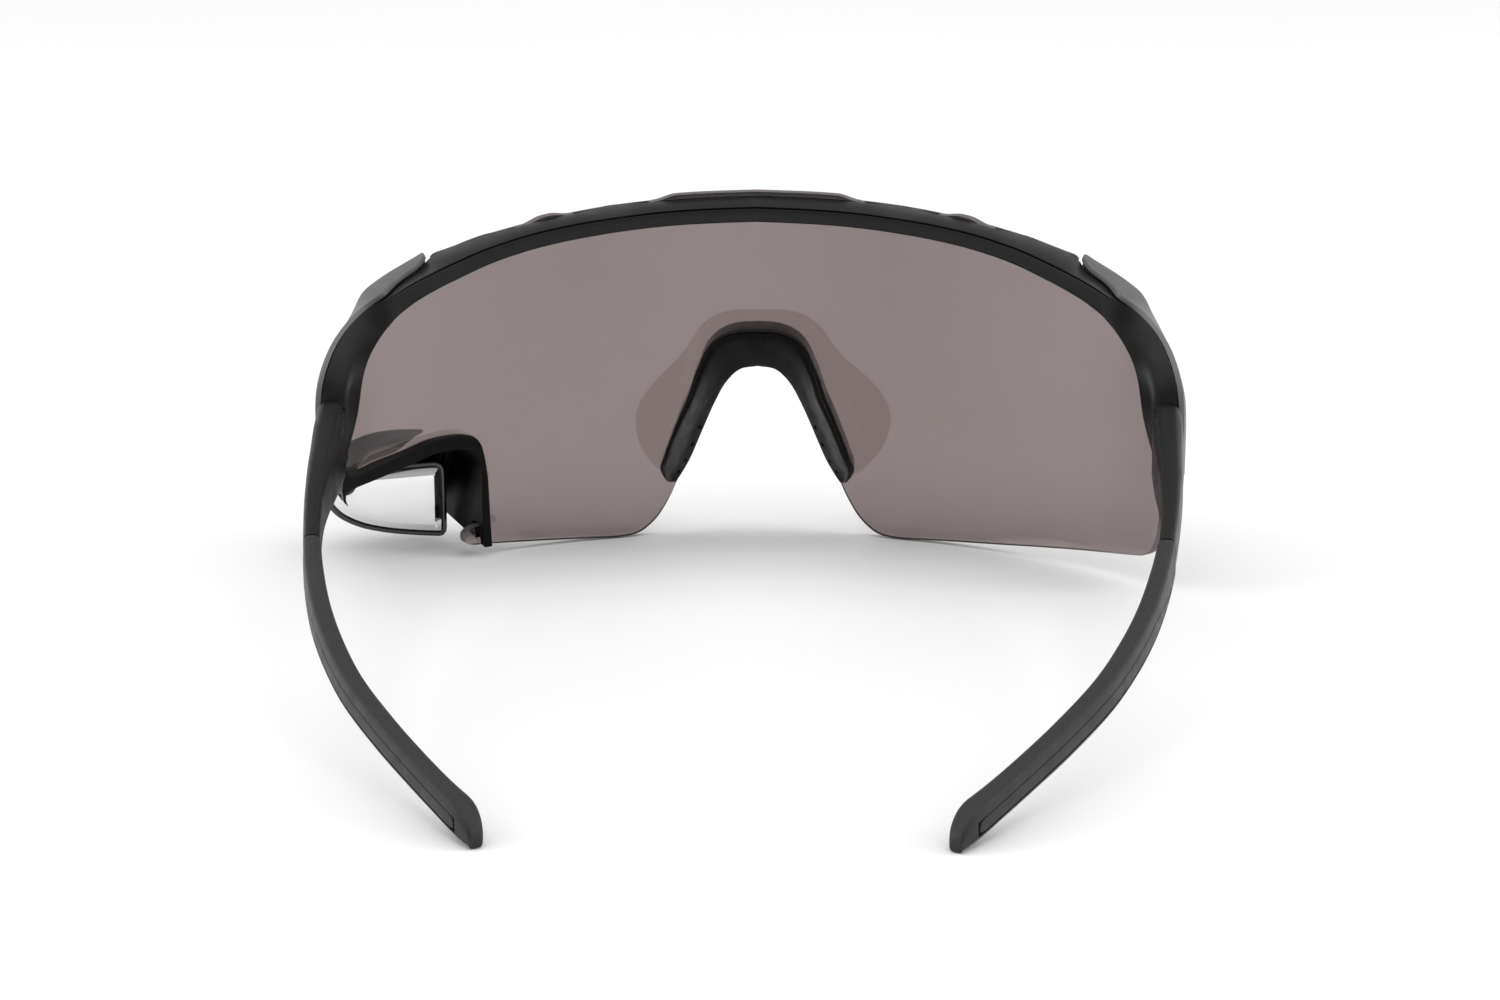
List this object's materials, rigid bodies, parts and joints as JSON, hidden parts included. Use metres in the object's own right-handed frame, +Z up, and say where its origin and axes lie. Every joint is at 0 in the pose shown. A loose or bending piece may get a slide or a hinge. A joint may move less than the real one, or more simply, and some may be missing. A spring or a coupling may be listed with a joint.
{
  "type": "wraparound sport sunglasses",
  "caption": "Wraparound sport sunglasses: one-piece smoke shield lens under a half rim, rubber-sleeved folding temples, soft nose piece and a hooded rear-view mirror at the lower left corner.",
  "frame": {"origin": "middle of the bounding box, on the surface that the glasses stand on with the temples open", "axes": "+Z up, +X towards the wearer's left, +Y back from the lens towards the ears"},
  "size_m": [0.1526, 0.162, 0.0624],
  "materials": {
    "smoke_lens": "polished smoke tint",
    "satin_black": "satin moulded black",
    "gloss_black": "gloss black",
    "soft_rubber": "fine matte overmould",
    "inlay_rubber": "matte strip",
    "pad_rubber": "soft matte",
    "steel": "turned",
    "mirror_face": "silvered with a bevelled edge"
  },
  "bodies": {
    "front": {"frame_front": "satin_black", "lens_shield": "smoke_lens", "brow_rail": "satin_black", "shoulder_cover_left": "satin_black", "shoulder_cover_right": "satin_black", "nose_carrier": "gloss_black", "nose_pad": "pad_rubber", "mirror_hood": "satin_black", "mirror_ball_stud": "steel", "hinge_screw_left": "steel", "hinge_screw_right": "steel", "hinge_nut_left": "steel", "hinge_nut_right": "steel"},
    "temple_left": {"temple_arm_left": "satin_black", "temple_sleeve_left": "soft_rubber", "temple_inlay_left": "inlay_rubber"},
    "temple_right": {"temple_arm_right": "satin_black", "temple_sleeve_right": "soft_rubber", "temple_inlay_right": "inlay_rubber"},
    "mirror_swivel": {"mirror_socket": "gloss_black"},
    "mirror": {"mirror_tray": "gloss_black", "mirror_glass": "mirror_face"}
  },
  "joints": [
    {"name": "temple_left_fold", "type": "hinge", "parent": "front", "child": "temple_left", "pos_m": [0.06797, -0.03301, 0.02921], "axis": [0, 0, 1], "range_deg": [0, 80]},
    {"name": "temple_right_fold", "type": "hinge", "parent": "front", "child": "temple_right", "pos_m": [-0.07193, -0.03301, 0.02921], "axis": [0, 0, -1], "range_deg": [0, 66]},
    {"name": "mirror_pan", "type": "hinge", "parent": "front", "child": "mirror_swivel", "pos_m": [0.06428, -0.06815, 0.01066], "axis": [0, 0, 1], "range_deg": [-5, 5]},
    {"name": "mirror_tilt", "type": "hinge", "parent": "mirror_swivel", "child": "mirror", "pos_m": [0.06428, -0.06815, 0.01066], "axis": [0.9455, 0.3256, 0], "range_deg": [-8, 8]}
  ]
}
